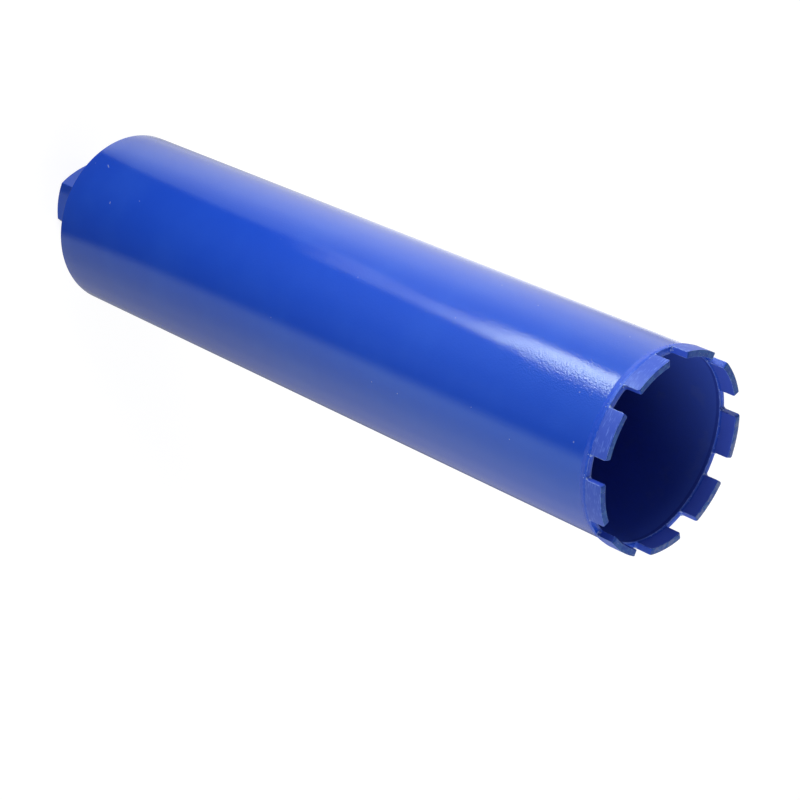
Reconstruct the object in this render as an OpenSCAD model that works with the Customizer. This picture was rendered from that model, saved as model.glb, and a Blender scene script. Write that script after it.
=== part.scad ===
// Wet diamond core bit: a steel barrel with brazed cutting segments on its open end and a
// hexagonal hub with a bored spindle hole on the other. The bit stands on the flat end of
// its hub, with the barrel's axis along +Z and the cutting crown on top. The origin is the
// centre of the hub's end face.

/* [Barrel] */
// Outer diameter of the barrel
barrel_d = 109; // [100:0.5:160]
// Wall thickness of the barrel
barrel_wall = 2.7; // [2:0.1:4]
// Length of the barrel from its back end to the edge that carries the segments
barrel_len = 430; // [120:5:600]
// Chamfer round the barrel's back end
back_edge = 0.6; // [0.2:0.1:1]

/* [Collar at the crown end] */
// How far the collar stands out from the barrel
collar_rise = 1.2; // [0.4:0.1:1.4]
// Length of the collar, its slope included
collar_len = 4.4; // [3:0.1:12]
// Length of the slope that runs from the barrel up to the collar
collar_slope = 2.6; // [0.3:0.1:2.6]
// Chamfer on both edges of the face that the segments sit on
collar_edge = 0.3; // [0.1:0.1:0.6]

/* [Segments] */
// Number of segments round the crown
segment_count = 9; // [4:1:10]
// Length of a segment, measured along its outer arc
segment_len = 25.6; // [16:0.1:27]
// Radial thickness of a segment
segment_thick = 3.8; // [3:0.1:5]
// Height of a segment
segment_height = 10; // [7:0.5:15]
// How far the segments stand out past the barrel's outer wall
outer_relief = 1.5; // [1.4:0.1:2.5]
// Rounding where a segment's cutting face meets its two ends
segment_round = 1.3; // [0.5:0.1:3]
// Small chamfer along the two long edges of the cutting face
segment_edge = 0.4; // [0.1:0.1:0.8]

/* [Braze] */
// Thickness of the solder seam under a segment
seam_gap = 0.2; // [0.1:0.05:0.5]
// How far the fillet at a segment's end reaches along the barrel's edge
fillet_foot = 0.9; // [0.4:0.1:1.5]
// How far the fillet climbs up the segment's end
fillet_rise = 1.1; // [0.4:0.1:2]

/* [Back plate] */
// Thickness of the back plate
plate_thick = 8; // [5:0.5:15]
// How deep the back plate sits inside the barrel's end
plate_recess = 2; // [1:0.1:5]
// Play between the back plate's rim and the barrel
plate_play = 0.05; // [0.02:0.01:0.2]

/* [Hub] */
// Distance across the hub's flats
hub_flats = 41; // [38:0.5:60]
// How far the hub's end lies behind the barrel's end
hub_reach = 48.5; // [30:0.5:90]
// Turn of the hub's flats against the first segment, in degrees
hub_turn = -2.5; // [-30:0.5:30]
// Width of the chamfered land between the end face and the flats, at the middle of a flat
hub_land = 0.7; // [0.3:0.1:1.5]
// Angle at which the end chamfer, turned slightly domed, leaves the end face, in degrees
hub_chamfer_angle = 27; // [15:1:45]
// Diameter of the spindle hole, which is the minor diameter of its 1 1/4 inch, 7 turn thread
bore_d = 28; // [24:0.1:29]
// Diameter of the lead-in chamfer at the hole's mouth
mouth_d = 32.4; // [31:0.1:34]
// Chamfer at the hole's inner end
exit_edge = 1; // [0.3:0.1:1.5]
// Diameter of the turned foot that the bead to the back plate is laid round
foot_d = 40; // [36:0.5:40.5]
// Diameter of the spigot that passes through the back plate
spigot_d = 34; // [32:0.5:36]
// Play between the spigot and the hole in the back plate
spigot_play = 0.05; // [0.02:0.01:0.2]

/* [Welds] */
// Height and width of the bead between the barrel and the back plate
plate_bead = 1.9; // [0.5:0.1:5]
// Height of the bead round the foot of the hub
hub_bead_height = 4; // [2:0.5:8]
// Reach of that bead past the hub's corners
hub_bead_reach = 3.6; // [1:0.1:6]
// Width of the bead's crest past the hub's corners
hub_bead_crest = 0.6; // [0.2:0.1:0.9]

/* [Hidden] */
$fn = 96;
// Length of a cutter past the solid that it cuts
over = 1;

barrel_r = barrel_d / 2;
barrel_in = barrel_r - barrel_wall;
barrel_back = hub_reach;
barrel_front = barrel_back + barrel_len;
collar_r = barrel_r + collar_rise;

// The flat ring at the barrel's front end, between its two chamfers
seat_in = barrel_in + collar_edge;
seat_out = collar_r - collar_edge;

segment_out = barrel_r + outer_relief;
segment_in = segment_out - segment_thick;
segment_foot = barrel_front + seam_gap;
segment_pitch = 360 / segment_count;
// Half of the angle that a segment spans
segment_half = segment_len / segment_out * 90 / PI;
// The seam lies where the segment covers the seat
seam_in = max(seat_in, segment_in);
seam_out = min(seat_out, segment_out);

plate_back = barrel_back + plate_recess;
plate_front = plate_back + plate_thick;

bore_r = bore_d / 2;
mouth_r = mouth_d / 2;
mouth_depth = mouth_r - bore_r;
hub_corner = hub_flats / 2 / cos(30);
hub_end_r = hub_flats / 2 - hub_land;
bead_r = hub_corner + hub_bead_reach;
// The hexagon ends where its bead begins
hexagon_len = plate_back - hub_bead_height;
// The ball whose surface is the hub's domed end chamfer
dome_r = hub_end_r / sin(hub_chamfer_angle);
dome_z = hub_end_r / tan(hub_chamfer_angle);

// Rounded-out quarter from [width, 0] to [0, height], the section of a weld bead
function bulge(width, height) = [for (a = [0:15:90]) [width * cos(a), height * sin(a)]];

// Hollowed quarter from [width, 0] to [0, height], the section of a solder fillet
function hollow(width, height) = [for (a = [0:30:90]) [width * (1 - sin(a)), height * (1 - cos(a))]];

// The barrel turned in one piece with the collar at its front end
module tube() {
    color("royalblue") rotate_extrude() polygon([
        [barrel_in, barrel_back],
        [barrel_r - back_edge, barrel_back],
        [barrel_r, barrel_back + back_edge],
        [barrel_r, barrel_front - collar_len],
        [collar_r, barrel_front - collar_len + collar_slope],
        [collar_r, barrel_front - collar_edge],
        [seat_out, barrel_front],
        [seat_in, barrel_front],
        [barrel_in, barrel_front - collar_edge]
    ]);
}

// The disc inside the barrel's back end, with the hole for the hub's spigot
module back_plate() {
    color("mediumblue") translate([0, 0, plate_back]) difference() {
        cylinder(r = barrel_in - plate_play, h = plate_thick);
        translate([0, 0, -over]) cylinder(r = spigot_d / 2 + spigot_play, h = plate_thick + 2 * over);
    }
}

// What a lathe takes off the corners of the hexagon's free end
module hub_end_chip() {
    difference() {
        translate([0, 0, -over]) cylinder(r = hub_corner + over, h = dome_z + over);
        translate([0, 0, dome_z]) sphere(r = dome_r);
    }
}

// The hexagon chamfered at its free end, its foot and spigot, and the hole through all three
module hub() {
    color("mediumblue") difference() {
        union() {
            difference() {
                rotate([0, 0, hub_turn + 30]) cylinder(r = hub_corner, h = hexagon_len, $fn = 6);
                hub_end_chip();
            }
            translate([0, 0, hexagon_len - over]) cylinder(d = foot_d, h = hub_bead_height + over);
            cylinder(d = spigot_d, h = plate_front);
        }
        translate([0, 0, -over]) cylinder(r = bore_r, h = plate_front + 2 * over);
        translate([0, 0, -over]) cylinder(r1 = mouth_r + over, r2 = bore_r, h = mouth_depth + over);
        translate([0, 0, plate_front - exit_edge])
            cylinder(r1 = bore_r, r2 = bore_r + exit_edge + over, h = exit_edge + over);
    }
}

// The bead in the corner between the barrel's wall and the back plate
module plate_weld() {
    color("mediumblue") translate([0, 0, plate_back]) rotate_extrude() polygon([
        [barrel_in, 0],
        for (p = bulge(plate_bead, plate_bead)) [barrel_in - p[0], -p[1]]
    ]);
}

// The bead round the hub's foot, on the back plate
module hub_weld() {
    crest_r = hub_corner + hub_bead_crest;
    color("mediumblue") translate([0, 0, plate_back]) rotate_extrude() polygon([
        [foot_d / 2, 0],
        for (p = bulge(bead_r - crest_r, hub_bead_height)) [crest_r + p[0], -p[1]],
        [foot_d / 2, -hub_bead_height]
    ]);
}

// Rounds the corner between the cutting face and the end of a segment that lies at +Y
module segment_corner() {
    rotate([0, 0, segment_half]) translate([segment_in - over, -segment_round, segment_height - segment_round])
        difference() {
            cube([segment_thick + 2 * over, segment_round + over, segment_round + over]);
            translate([-over, 0, 0]) rotate([0, 90, 0]) cylinder(r = segment_round, h = segment_thick + 4 * over);
        }
}

// One cutting segment, number i counted from the +X axis
module segment(i) {
    color("slateblue") rotate([0, 0, (i - 1) * segment_pitch]) translate([0, 0, segment_foot]) difference() {
        rotate([0, 0, -segment_half]) rotate_extrude(angle = 2 * segment_half) polygon([
            [segment_in, 0],
            [segment_out, 0],
            [segment_out, segment_height - segment_edge],
            [segment_out - segment_edge, segment_height],
            [segment_in + segment_edge, segment_height],
            [segment_in, segment_height - segment_edge]
        ]);
        segment_corner();
        mirror([0, 1, 0]) segment_corner();
    }
}

// The fillet of solder at the foot of the segment's end that lies at +Y
module end_fillet() {
    rotate([0, 0, segment_half]) translate([seam_in, 0, 0]) rotate([90, 0, 90])
        linear_extrude(seam_out - seam_in - collar_edge / 2)
            polygon([[0, 0], for (p = hollow(fillet_foot, fillet_rise)) p]);
}

// The solder under segment number i, with a fillet at each of its ends
module braze(i) {
    color("cornflowerblue") rotate([0, 0, (i - 1) * segment_pitch]) translate([0, 0, barrel_front]) union() {
        rotate([0, 0, -segment_half]) rotate_extrude(angle = 2 * segment_half)
            translate([seam_in, 0]) square([seam_out - seam_in, seam_gap]);
        end_fillet();
        mirror([0, 1, 0]) end_fillet();
    }
}

tube();
back_plate();
hub();
plate_weld();
hub_weld();
for (i = [1:segment_count]) {
    segment(i);
    braze(i);
}
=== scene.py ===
"""Looks of a wet diamond core bit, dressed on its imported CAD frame.

The bit stands on the flat end of its hub, with the cutting crown on top. Its sizes are held
in millimetres and turned into metres where a mesh is made.
"""

from __future__ import annotations

import logging
import math
import random
from dataclasses import dataclass, field
from enum import Enum
from typing import Any, Mapping, Optional, Sequence, Union

import bmesh
import bpy
import numpy as np
from mathutils import Matrix, Vector, noise


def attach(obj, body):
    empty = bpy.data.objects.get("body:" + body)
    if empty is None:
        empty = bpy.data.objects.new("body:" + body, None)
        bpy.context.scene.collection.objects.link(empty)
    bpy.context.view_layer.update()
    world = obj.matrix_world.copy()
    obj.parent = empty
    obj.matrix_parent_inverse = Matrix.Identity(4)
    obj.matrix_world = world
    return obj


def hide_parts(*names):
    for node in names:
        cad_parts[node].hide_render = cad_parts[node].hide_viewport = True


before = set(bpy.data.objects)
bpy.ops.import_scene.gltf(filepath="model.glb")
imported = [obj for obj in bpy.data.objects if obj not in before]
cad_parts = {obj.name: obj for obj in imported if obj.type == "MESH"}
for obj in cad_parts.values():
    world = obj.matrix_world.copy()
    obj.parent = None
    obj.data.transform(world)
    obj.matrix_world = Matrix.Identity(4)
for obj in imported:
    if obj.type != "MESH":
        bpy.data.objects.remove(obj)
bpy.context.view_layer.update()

LOG = logging.getLogger("core bit")
MM = 0.001
TAU = 2 * math.pi
BODY = "root"

# Sizes that the shapes and the finishes share, in millimetres
BARREL_RADIUS = 54.5
BARREL_INNER_RADIUS = 51.8
BARREL_FRONT = 478.5
COLLAR_RADIUS = 55.7
SEGMENT_COUNT = 9
SEGMENT_ARC = 25.6
SEGMENT_HEIGHT = 10.0
SEGMENT_FOOT = 478.7
CROWN_RADIUS = 56.0
CROWN_INNER_RADIUS = 52.2

Colour = tuple[float, float, float]
Point = tuple[float, float, float]
# Two numbers, mostly where a smooth step is 0 and where it is 1
Span = tuple[float, float]
Socket = bpy.types.NodeSocket

WHITE = (1.0, 1.0, 1.0, 1.0)
BLACK = (0.0, 0.0, 0.0, 1.0)

# Numbers of the colour sockets of a Mix node
MIX_FIRST = 6
MIX_SECOND = 7
MIX_RESULT = 2


class Slot(str, Enum):
    """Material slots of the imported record."""

    BARREL = "barrel_paint"
    HUB = "hub_paint"
    SEGMENT = "segment_matrix"
    SOLDER = "solder"


class Field:
    """A number that changes over a surface: a socket on which Python's operators add Math nodes."""

    def __init__(self, graph: Graph, socket: Socket) -> None:
        """Wraps a socket.

        Args:
            graph: The graph that the socket belongs to.
            socket: The output that carries the number.
        """
        self.graph = graph
        self.socket = socket

    def __add__(self, other: Number) -> Field:
        """Sum."""
        return self.graph.math("ADD", self, other)

    def __sub__(self, other: Number) -> Field:
        """Difference."""
        return self.graph.math("SUBTRACT", self, other)

    def __rsub__(self, other: Number) -> Field:
        """Difference with the field on the right."""
        return self.graph.math("SUBTRACT", other, self)

    def __mul__(self, other: Number) -> Field:
        """Product."""
        return self.graph.math("MULTIPLY", self, other)

    def __truediv__(self, other: Number) -> Field:
        """Quotient."""
        return self.graph.math("DIVIDE", self, other)

    def __pow__(self, power: Number) -> Field:
        """Power."""
        return self.graph.math("POWER", self, power)

    def __mod__(self, other: Number) -> Field:
        """Remainder, which is never negative."""
        return self.graph.math("FLOORED_MODULO", self, other)

    def __abs__(self) -> Field:
        """Size without the sign."""
        return self.graph.math("ABSOLUTE", self)

    def least(self, other: Number) -> Field:
        """The smaller of two numbers."""
        return self.graph.math("MINIMUM", self, other)

    def most(self, other: Number) -> Field:
        """The larger of two numbers."""
        return self.graph.math("MAXIMUM", self, other)

    __radd__ = __add__
    __rmul__ = __mul__

    def step(self, low: float, high: float) -> Field:
        """Smooth step.

        Args:
            low: Where the result is 0.
            high: Where the result is 1. It may lie below low.

        Returns:
            A field that goes smoothly from 0 to 1.
        """
        rising = low < high
        node = self.graph.node(
            "ShaderNodeMapRange",
            {"interpolation_type": "SMOOTHSTEP"},
            {"Value": self, "From Min": min(low, high), "From Max": max(low, high),
             "To Min": 0.0 if rising else 1.0, "To Max": 1.0 if rising else 0.0},
        )
        return Field(self.graph, node.outputs["Result"])


Number = Union[float, Field]


class Graph:
    """The nodes of a material or of the world."""

    def __init__(self, tree: bpy.types.NodeTree) -> None:
        """Empties a node tree.

        Args:
            tree: The tree to fill.
        """
        tree.nodes.clear()
        self.tree = tree

    def node(
        self,
        kind: str,
        settings: Optional[Mapping[str, Any]] = None,
        inputs: Optional[Mapping[Union[str, int], Any]] = None,
    ) -> bpy.types.Node:
        """Adds a node.

        Args:
            kind: Blender's name of the node's type.
            settings: Properties of the node, which are set first.
            inputs: A value, a socket or a field for each named or numbered input.

        Returns:
            The new node.
        """
        node = self.tree.nodes.new(kind)
        for name, value in (settings or {}).items():
            setattr(node, name, value)
        for key, value in (inputs or {}).items():
            source = value.socket if isinstance(value, Field) else value
            if isinstance(source, Socket):
                self.tree.links.new(source, node.inputs[key])
            else:
                node.inputs[key].default_value = source
        return node

    def math(self, operation: str, *values: Number) -> Field:
        """Adds a Math node.

        Args:
            operation: The node's operation.
            values: Its one or two operands.

        Returns:
            The result.
        """
        node = self.node("ShaderNodeMath", {"operation": operation}, dict(enumerate(values)))
        return Field(self, node.outputs[0])

    def rays(self) -> tuple[Field, Field]:
        """Whether a ray comes from the camera, and whether it comes from a glossy surface."""
        path = self.node("ShaderNodeLightPath").outputs
        return Field(self, path["Is Camera Ray"]), Field(self, path["Is Glossy Ray"])

    def combine(self, x: Number, y: Number, z: Number) -> Socket:
        """Makes a vector of three numbers."""
        return self.node("ShaderNodeCombineXYZ", None, {"X": x, "Y": y, "Z": z}).outputs[0]

    def noise(self, at: Socket, size: float, detail: float = 2.0) -> Field:
        """Adds a Noise texture.

        Args:
            at: The place, in millimetres.
            size: The size of its largest features, in millimetres.
            detail: How many finer layers it has.

        Returns:
            The noise, from 0 to 1.
        """
        inputs = {"Vector": at, "Scale": 1 / size, "Detail": detail}
        return Field(self, self.node("ShaderNodeTexNoise", None, inputs).outputs[0])

    def cells(self, at: Socket, size: float, flat: bool = False) -> tuple[Field, Field]:
        """Adds a Voronoi texture.

        Args:
            at: The place, in millimetres.
            size: The size of a cell, in millimetres.
            flat: Whether the cells lie in the plane of X and Y.

        Returns:
            The distance from the cell's middle in cell sizes, and a random number per cell.
        """
        node = self.node(
            "ShaderNodeTexVoronoi",
            {"voronoi_dimensions": "2D" if flat else "3D"},
            {"Vector": at, "Scale": 1 / size},
        )
        chance = self.node("ShaderNodeSeparateColor", None, {"Color": node.outputs["Color"]})
        return Field(self, node.outputs["Distance"]), Field(self, chance.outputs[0])


def mix(share: Field, first: Union[Colour, Socket], second: Union[Colour, Socket]) -> Socket:
    """Mixes two colours.

    Args:
        share: The share of the second colour.
        first: A colour or a colour socket.
        second: A colour or a colour socket.

    Returns:
        The mixed colour.
    """
    colours = [value if isinstance(value, Socket) else (*value, 1.0) for value in (first, second)]
    inputs = {0: share, MIX_FIRST: colours[0], MIX_SECOND: colours[1]}
    return share.graph.node("ShaderNodeMix", {"data_type": "RGBA"}, inputs).outputs[MIX_RESULT]


class Place:
    """Where a point of the surface lies on the bit, in millimetres."""

    def __init__(self, graph: Graph) -> None:
        """Adds the nodes that read the place.

        Args:
            graph: The graph of the material.
        """
        self.graph = graph
        found = graph.node("ShaderNodeTexCoord").outputs["Object"]
        scale = {"operation": "SCALE"}
        self.point = graph.node("ShaderNodeVectorMath", scale, {0: found, "Scale": 1 / MM}).outputs[0]
        parts = graph.node("ShaderNodeSeparateXYZ", None, {0: self.point}).outputs
        self.x, self.y, self.z = (Field(graph, part) for part in parts)
        self.radius = (self.x * self.x + self.y * self.y) ** 0.5
        self.turn = graph.math("ARCTAN2", self.y, self.x)
        normal = graph.node("ShaderNodeNewGeometry").outputs["Normal"]
        facing = graph.node("ShaderNodeSeparateXYZ", None, {0: normal}).outputs
        self.rise = Field(graph, facing[2])
        outward = self.x * Field(graph, facing[0]) + self.y * Field(graph, facing[1])
        self.outward = outward / self.radius

    def noise(self, size: float, detail: float = 2.0) -> Field:
        """Noise from 0 to 1, whose largest features have a size in millimetres."""
        return self.graph.noise(self.point, size, detail)

    def arc(self, radius: float) -> Field:
        """Distance along the arc from the middle of the nearest segment.

        Args:
            radius: The radius of the arc, in millimetres.

        Returns:
            The distance, in millimetres.
        """
        pitch = TAU / SEGMENT_COUNT
        return abs((self.turn / pitch + 0.5) % 1.0 - 0.5) * (pitch * radius)


@dataclass(frozen=True)
class Nick:
    """A short pale scratch in the barrel's coat: angles in degrees, lengths in millimetres."""

    turn: float
    height: float
    length: float
    width: float
    slant: float
    blur: Span = (1.3, 0.7)

    def mask(self, place: Place) -> Field:
        """Share of the scratch.

        Args:
            place: Where the point lies.

        Returns:
            A field that is 1 in the scratch and 0 outside it.
        """
        along = (place.turn - math.radians(self.turn)) * BARREL_RADIUS
        up = place.z - self.height
        cos, sin = math.cos(math.radians(self.slant)), math.sin(math.radians(self.slant))
        long = (along * cos + up * sin) / (self.length / 2)
        broad = (up * cos - along * sin) / (self.width / 2)
        return (long * long + broad * broad).step(*self.blur)


@dataclass(frozen=True)
class Enamel:
    """Semi-gloss blue enamel, sprayed over the whole bit."""

    name: str = "blue_enamel"
    tint: Colour = (0.004, 0.063, 0.60)
    thin_tint: Colour = (0.008, 0.074, 0.62)
    specular: float = 0.50
    gloss_tint: Colour = (0.62, 1.0, 1.0)
    roughness: float = 0.14
    roughness_spread: float = 0.04
    drift_size: float = 12.0
    peel_size: float = 1.0
    peel_depth: float = 0.06
    grain_size: float = 0.45
    grain_depth: float = 0.006
    mottle_size: float = 45.0
    mottle_span: Span = (0.42, 0.75)
    dust_tint: Colour = (0.20, 0.27, 0.62)
    dust_cell: float = 42.0
    dust_radius: float = 0.42
    dust_blur: float = 0.1
    dust_chance: Span = (0.50, 0.55)

    def thinness(self, place: Place) -> Field:
        """How thin the coat is, from 0 to 1: faint clouds from the spray gun."""
        return place.noise(self.mottle_size, detail=3.0).step(*self.mottle_span)

    def colour(self, place: Place) -> Socket:
        """Colour of the coat, with a few specks of dust in it.

        Args:
            place: Where the point lies.

        Returns:
            The colour.
        """
        coat = mix(self.thinness(place), self.tint, self.thin_tint)
        unrolled = place.graph.combine(place.turn * BARREL_RADIUS, place.z, 0.0)
        away, chance = place.graph.cells(unrolled, self.dust_cell, flat=True)
        past_edge = away * self.dust_cell - chance * self.dust_radius
        speck = past_edge.step(self.dust_blur, -self.dust_blur) * chance.step(*self.dust_chance)
        return mix(speck, coat, self.dust_tint)

    def roughness_over(self, place: Place) -> Field:
        """Roughness, which drifts a little over the surface."""
        drift = place.noise(self.drift_size, detail=3.0) - 0.5
        return drift * self.roughness_spread + self.roughness

    def metallic_over(self, place: Place) -> Number:
        """Share of bare metal."""
        return 0.0

    def relief(self, place: Place) -> Field:
        """Height of the surface in millimetres: the orange peel and the grain of the spray."""
        peel = place.noise(self.peel_size, detail=1.0) * self.peel_depth
        return peel + place.noise(self.grain_size, detail=1.0) * self.grain_depth

    def build(self) -> bpy.types.Material:
        """Makes the material.

        Returns:
            The material, or the one of this name that is there already.
        """
        if self.name in bpy.data.materials:
            return bpy.data.materials[self.name]
        material = bpy.data.materials.new(self.name)
        material.use_nodes = True
        graph = Graph(material.node_tree)
        place = Place(graph)
        bump = graph.node("ShaderNodeBump", None, {"Height": self.relief(place), "Distance": MM})
        shader = graph.node(
            "ShaderNodeBsdfPrincipled",
            None,
            {
                "Base Color": self.colour(place),
                "Roughness": self.roughness_over(place),
                "Metallic": self.metallic_over(place),
                "Specular IOR Level": self.specular,
                "Specular Tint": (*self.gloss_tint, 1.0),
                "Normal": bump.outputs[0],
            },
        )
        graph.node("ShaderNodeOutputMaterial", None, {"Surface": shader.outputs[0]})
        return material


@dataclass(frozen=True)
class BarrelEnamel(Enamel):
    """The barrel's coat: dry inside, with a band of painted shade just below the rim, dappled on the
    heated collar, rubbed pale along the rim, which is partly a painted highlight.
    """

    name: str = "barrel_enamel"
    inner_tint: Colour = (0.044, 0.092, 0.48)
    inner_radius: float = 53.0
    inner_blur: float = 0.4
    inner_roughness: float = 0.5
    # Painted shade: a darker band round the inner wall just below the rim
    inner_shade_tint: Colour = (0.026, 0.055, 0.36)
    inner_shade_start: Span = (476.0, 476.5)
    inner_shade_end: Span = (478.1, 477.7)
    smudge_tint: Colour = (0.060, 0.105, 0.45)
    smudge_size: float = 14.0
    smudge_span: Span = (0.58, 0.72)
    smudge_share: float = 0.6
    # Pale rim edges: partly rubbed coat, partly painted highlight
    rim_wear_and_highlight_tint: Colour = (0.150, 0.240, 0.74)
    rubbed_size: float = 2.2
    rubbed_span: Span = (0.40, 0.62)
    rubbed_width: Span = (0.5, 0.1)
    collar_start: Span = (473.1, 474.3)
    collar_roughness: float = 0.42
    dapple_tint: Colour = (0.022, 0.090, 0.66)
    dapple_size: float = 1.5
    dapple_span: Span = (0.45, 0.65)
    dapple_depth: float = 0.22
    sand_size: float = 0.85
    sand_depth: float = 0.125
    sand_start: Span = (-109.0, -104.5)
    sand_end: Span = (-84.0, -97.0)
    sand_height: Span = (428.0, 454.0)
    sand_cloud: float = 9.0
    sand_raggedness: float = 60.0
    nicks: tuple[Nick, ...] = (
        Nick(turn=-110.2, height=65.4, length=3.4, width=0.7, slant=60.0),
        Nick(turn=-88.0, height=86.0, length=1.6, width=0.8, slant=20.0),
        Nick(turn=-69.0, height=466.0, length=1.0, width=0.8, slant=0.0),
        Nick(turn=52.0, height=210.0, length=4.5, width=0.6, slant=35.0),
        Nick(turn=131.0, height=340.0, length=2.8, width=0.6, slant=-50.0),
    )

    def inside(self, place: Place) -> Field:
        """Share of the dry coat, which lies inside the barrel."""
        return place.radius.step(self.inner_radius, self.inner_radius - self.inner_blur)

    def collar(self, place: Place) -> Field:
        """Share of the collar's outside."""
        outside = place.radius.step(self.inner_radius, self.inner_radius + self.inner_blur)
        return place.z.step(*self.collar_start) * outside

    def rim_wear_and_highlight_share(self, place: Place) -> Field:
        """How far the coat is rubbed off the two edges of the rim, in patches, whose pale colour is partly
        wear and partly a painted highlight.

        Args:
            place: Where the point lies.

        Returns:
            The share that is rubbed off and painted pale.
        """
        across = (place.radius - BARREL_INNER_RADIUS).least(COLLAR_RADIUS - place.radius)
        from_edge = across.most(BARREL_FRONT - place.z)
        worn = place.noise(self.rubbed_size, detail=3.0).step(*self.rubbed_span)
        return from_edge.step(*self.rubbed_width) * worn

    def colour(self, place: Place) -> Socket:
        """Colour of the coat inside, with its band of painted shade below the rim, outside, on the collar
        and where it is rubbed pale, which is partly a painted highlight.

        Args:
            place: Where the point lies.

        Returns:
            The colour.
        """
        smudge = place.noise(self.smudge_size, detail=4.0).step(*self.smudge_span)
        inner = mix(smudge * self.smudge_share, self.inner_tint, self.smudge_tint)
        # Painted shade: a darker band round the inner wall just below the rim
        line = place.z.step(*self.inner_shade_start) * place.z.step(*self.inner_shade_end)
        inner = mix(line, inner, self.inner_shade_tint)
        outer = super().colour(place)
        for nick in self.nicks:
            outer = mix(nick.mask(place), outer, self.dust_tint)
        dapple = place.noise(self.dapple_size).step(*self.dapple_span)
        outer = mix(self.collar(place) * dapple, outer, self.dapple_tint)
        both = mix(self.inside(place), outer, inner)
        # Pale rim edges: partly rubbed coat, partly painted highlight
        return mix(self.rim_wear_and_highlight_share(place), both, self.rim_wear_and_highlight_tint)

    def roughness_over(self, place: Place) -> Field:
        """Roughness, higher on the dry spray inside and on the collar.

        Args:
            place: Where the point lies.

        Returns:
            The roughness.
        """
        smooth = super().roughness_over(place)
        inside = self.inside(place) * (self.inner_roughness - self.roughness)
        return smooth + inside + self.collar(place) * (self.collar_roughness - self.roughness)

    def sandy(self, place: Place) -> Field:
        """Where the spray dried as fine sand: a ragged band that runs back from the collar.

        Args:
            place: Where the point lies.

        Returns:
            The share of sand.
        """
        angle = place.turn * (360 / TAU)
        band = angle.step(*self.sand_start) * angle.step(*self.sand_end)
        ragged = place.noise(self.sand_cloud) * self.sand_raggedness + place.z
        return band * ragged.step(*self.sand_height)

    def relief(self, place: Place) -> Field:
        """Height of the surface: orange peel, fine sand, and the collar's dapples.

        Args:
            place: Where the point lies.

        Returns:
            The height, in millimetres.
        """
        dapple = place.noise(self.dapple_size) * self.dapple_depth * self.collar(place)
        sand = place.noise(self.sand_size, detail=1.0) * self.sand_depth
        return super().relief(place) + dapple + sand * self.sandy(place)


@dataclass(frozen=True)
class HubEnamel(Enamel):
    """The coat over the milled hub and the plate, with the tool's marks under it."""

    name: str = "hub_enamel"
    roughness: float = 0.33
    mark_size: float = 0.55
    mark_length: float = 14.0
    mark_depth: float = 0.006

    def relief(self, place: Place) -> Field:
        """Height of the surface: orange peel over long fine marks.

        Args:
            place: Where the point lies.

        Returns:
            The height, in millimetres.
        """
        length = self.mark_length
        along = place.graph.combine(place.x / length, place.y / length, place.z / self.mark_size)
        return super().relief(place) + place.graph.noise(along, size=1.0) * self.mark_depth


@dataclass(frozen=True)
class ThreadedHubEnamel(HubEnamel):
    """The hub's coat, which fades into oiled bare steel inside the threaded hole."""

    name: str = "threaded_hub_enamel"
    steel_tint: Colour = (0.23, 0.225, 0.215)
    steel_share: float = 0.9
    oil_tint: Colour = (0.075, 0.06, 0.045)
    oil_size: float = 4.0
    oil_span: Span = (0.4, 0.7)
    hole_span: Span = (16.15, 15.95)
    spray_span: Span = (4.0, 9.0)
    spray_cloud: float = 3.0
    spray_raggedness: float = 4.0

    def bare(self, place: Place) -> Field:
        """Share of bare steel: inside the hole, past the spray that reached its mouth."""
        ragged = place.noise(self.spray_cloud) * self.spray_raggedness + place.z
        return place.radius.step(*self.hole_span) * ragged.step(*self.spray_span)

    def colour(self, place: Place) -> Socket:
        """Colour of the coat outside and of the oiled steel inside.

        Args:
            place: Where the point lies.

        Returns:
            The colour.
        """
        oiled = place.noise(self.oil_size, detail=3.0).step(*self.oil_span)
        steel = mix(oiled, self.steel_tint, self.oil_tint)
        return mix(self.bare(place), super().colour(place), steel)

    def metallic_over(self, place: Place) -> Field:
        """Share of bare metal."""
        return self.bare(place) * self.steel_share


@dataclass(frozen=True)
class WeldEnamel(Enamel):
    """The coat over a weld bead, rough with scale and spatter."""

    name: str = "weld_enamel"
    roughness: float = 0.36
    scale_size: float = 0.8
    scale_depth: float = 0.05

    def relief(self, place: Place) -> Field:
        """Height of the surface in millimetres: orange peel over fine scale."""
        scale = place.noise(self.scale_size, detail=3.0) * self.scale_depth
        return super().relief(place) + scale


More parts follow.
